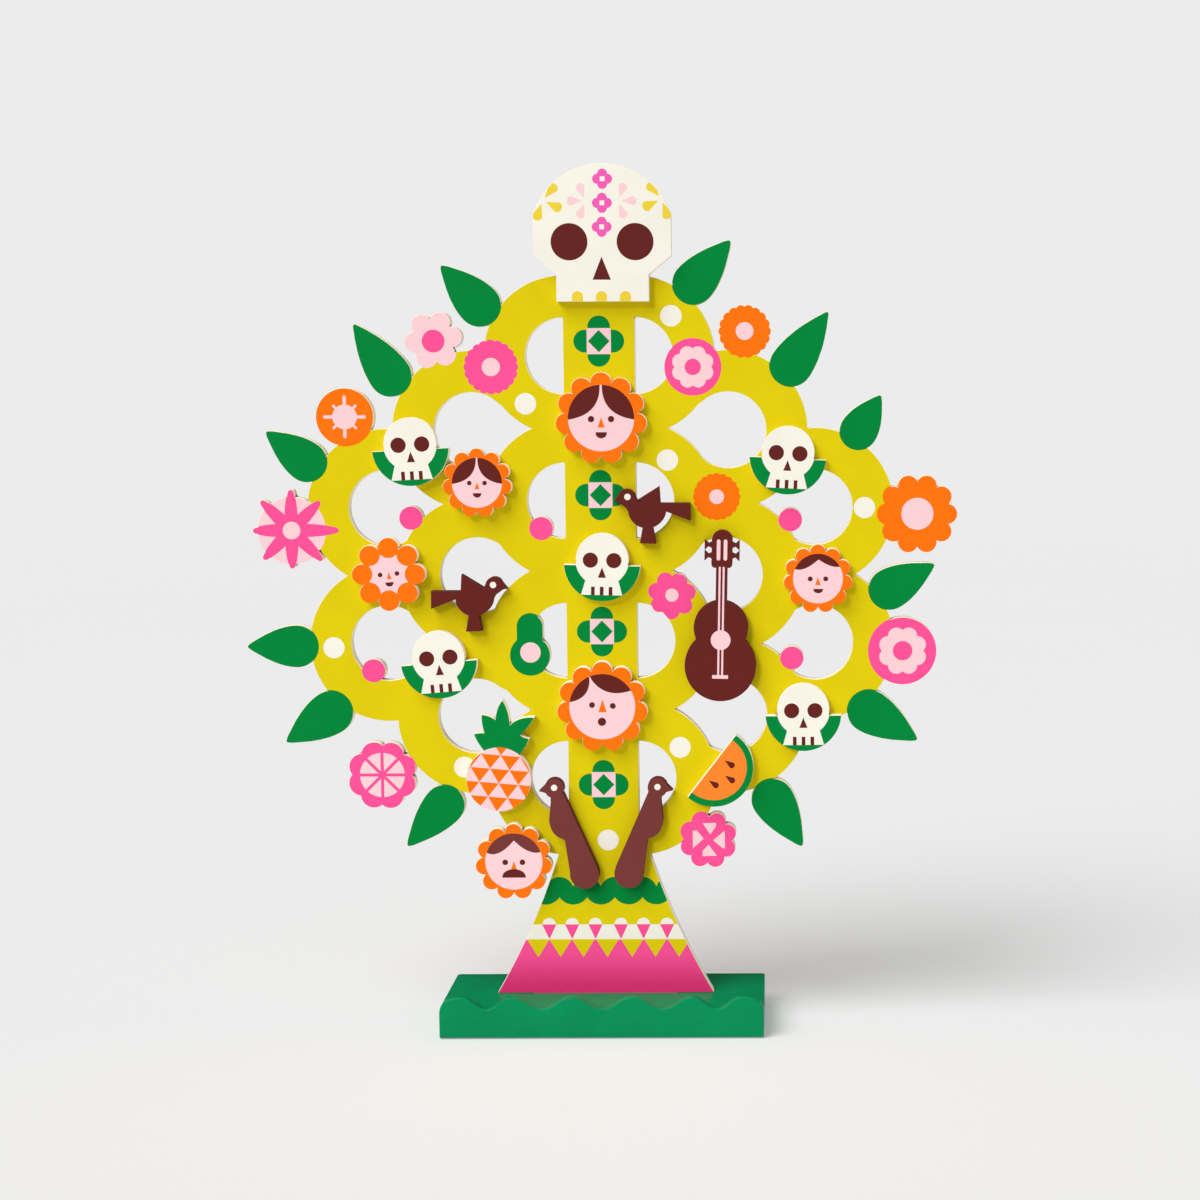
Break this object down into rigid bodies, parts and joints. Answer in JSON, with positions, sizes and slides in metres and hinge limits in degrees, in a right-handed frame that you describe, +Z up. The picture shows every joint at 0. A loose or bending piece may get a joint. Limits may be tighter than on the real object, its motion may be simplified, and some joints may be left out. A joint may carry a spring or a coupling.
{
  "type": "tree of life table ornament",
  "caption": "Flat cut-out tree of life that stands in a wooden base, with a lattice of rings, leaves and flowers and raised skulls, marigolds, birds and fruit.",
  "frame": {"origin": "centre of the footprint at table level", "axes": "+Z up, +X to the viewer's right, -Y towards the viewer, the printed front faces -Y"},
  "size_m": [0.2911, 0.054, 0.3529],
  "materials": {
    "tree_ink": "matte yellow print with pink, green and pale figures on a thin fibreboard, edges left as cut",
    "base_paint": "satin green paint on wood",
    "skull_ink": "matte cream print on a thin board, edges left as cut",
    "marigold_ink": "matte orange print on a thin board, edges left as cut",
    "brown_ink": "matte dark brown print on a thin board, edges left as cut",
    "fruit_ink": "matte orange print on a thin board, edges left as cut",
    "screw_steel": "zinc plated",
    "pad_rubber": "matte"
  },
  "bodies": {
    "root": {"tree_panel": "tree_ink", "base_block": "base_paint", "base_wave_rail": "base_paint", "base_screw_left": "screw_steel", "base_screw_right": "screw_steel", "foot_pad_front_left": "pad_rubber", "foot_pad_front_right": "pad_rubber", "foot_pad_back_left": "pad_rubber", "foot_pad_back_right": "pad_rubber", "sugar_skull_topper": "skull_ink", "skull_upper_left": "skull_ink", "skull_upper_right": "skull_ink", "skull_centre": "skull_ink", "skull_lower_left": "skull_ink", "skull_lower_right": "skull_ink", "marigold_upper_centre": "marigold_ink", "marigold_upper_left": "marigold_ink", "marigold_right": "marigold_ink", "marigold_lower_centre": "marigold_ink", "marigold_moustache": "marigold_ink", "marigold_child_left": "marigold_ink", "guitar": "brown_ink", "bird_flying_left": "brown_ink", "bird_flying_right": "brown_ink", "bird_perched_right": "brown_ink", "bird_perched_left": "brown_ink", "pineapple": "fruit_ink", "melon_slice": "fruit_ink"}
  },
  "joints": []
}
